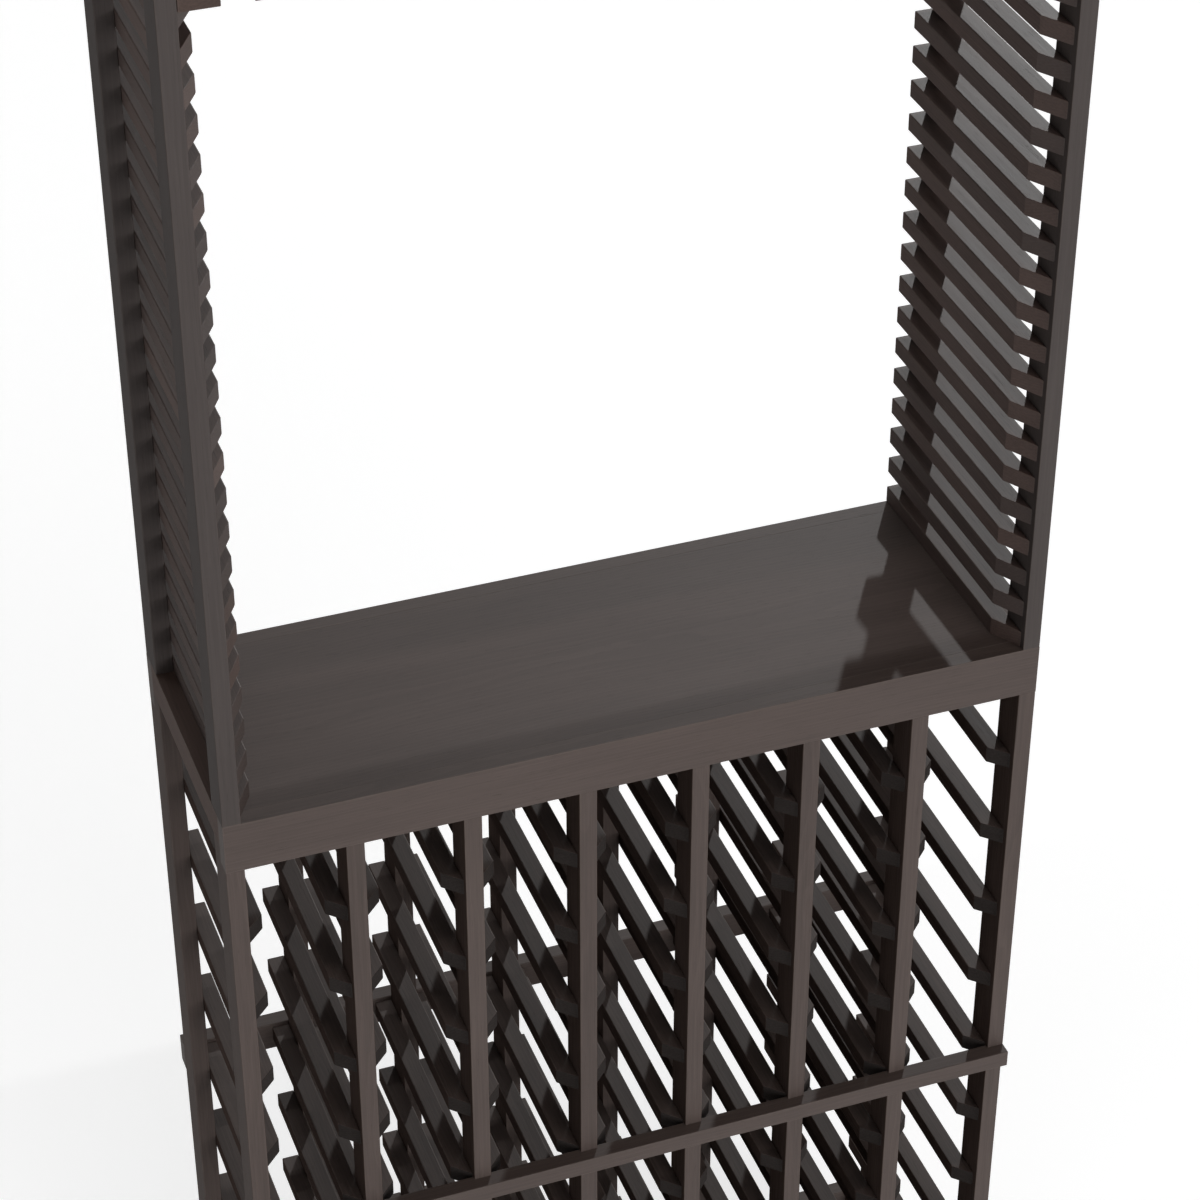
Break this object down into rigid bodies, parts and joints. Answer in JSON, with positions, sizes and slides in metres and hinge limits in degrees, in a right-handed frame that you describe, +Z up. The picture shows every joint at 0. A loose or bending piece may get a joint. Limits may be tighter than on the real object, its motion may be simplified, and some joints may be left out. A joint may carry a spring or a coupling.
{
  "type": "wine tasting station",
  "caption": "Tall open wooden rack: bottle columns under a table top, with slatted side frames that carry a slotted stemware shelf and a top panel.",
  "frame": {"origin": "on the floor, under the middle of the overall box", "axes": "+Z up, +X to the right of someone facing the front, +Y from the front to the rear"},
  "size_m": [0.8016, 0.3114, 2.1505],
  "materials": {
    "stained_band": "satin dark brown stain",
    "stained_moulding": "satin dark brown stain",
    "stained_panel": "satin dark brown stain",
    "stained_rail": "satin dark brown stain",
    "stained_trim": "satin dark brown stain",
    "stained_upright": "satin dark brown stain"
  },
  "bodies": {
    "root": {"front_apron": "stained_trim", "front_top_rail": "stained_trim", "front_upright_1": "stained_upright", "front_upright_2": "stained_upright", "front_upright_3": "stained_upright", "front_upright_4": "stained_upright", "front_upright_5": "stained_upright", "front_upright_6": "stained_upright", "front_upright_7": "stained_upright", "front_upright_8": "stained_upright", "ladder_rails_1": "stained_rail", "ladder_rails_2": "stained_rail", "ladder_rails_3": "stained_rail", "ladder_rails_4": "stained_rail", "ladder_rails_5": "stained_rail", "ladder_rails_6": "stained_rail", "ladder_rails_7": "stained_rail", "ladder_rails_8": "stained_rail", "left_edge_strip": "stained_trim", "left_front_post": "stained_upright", "left_rear_post": "stained_upright", "left_shelf_rails": "stained_rail", "lower_front_band": "stained_band", "lower_rear_band": "stained_band", "middle_front_band": "stained_band", "middle_rear_band": "stained_band", "rear_apron": "stained_trim", "rear_top_rail": "stained_trim", "rear_upright_1": "stained_upright", "rear_upright_2": "stained_upright", "rear_upright_3": "stained_upright", "rear_upright_4": "stained_upright", "rear_upright_5": "stained_upright", "rear_upright_6": "stained_upright", "rear_upright_7": "stained_upright", "rear_upright_8": "stained_upright", "right_edge_strip": "stained_trim", "right_front_post": "stained_upright", "right_rear_post": "stained_upright", "right_shelf_rails": "stained_rail", "stemware_flange_1": "stained_moulding", "stemware_flange_2": "stained_moulding", "stemware_flange_3": "stained_moulding", "stemware_flange_4": "stained_moulding", "stemware_flange_5": "stained_moulding", "stemware_flange_6": "stained_moulding", "stemware_flange_7": "stained_moulding", "stemware_flange_8": "stained_moulding", "stemware_shelf": "stained_panel", "stemware_web_2": "stained_moulding", "stemware_web_3": "stained_moulding", "stemware_web_4": "stained_moulding", "stemware_web_5": "stained_moulding", "stemware_web_6": "stained_moulding", "stemware_web_7": "stained_moulding", "table_panel": "stained_panel", "top_panel": "stained_panel"}
  },
  "joints": []
}
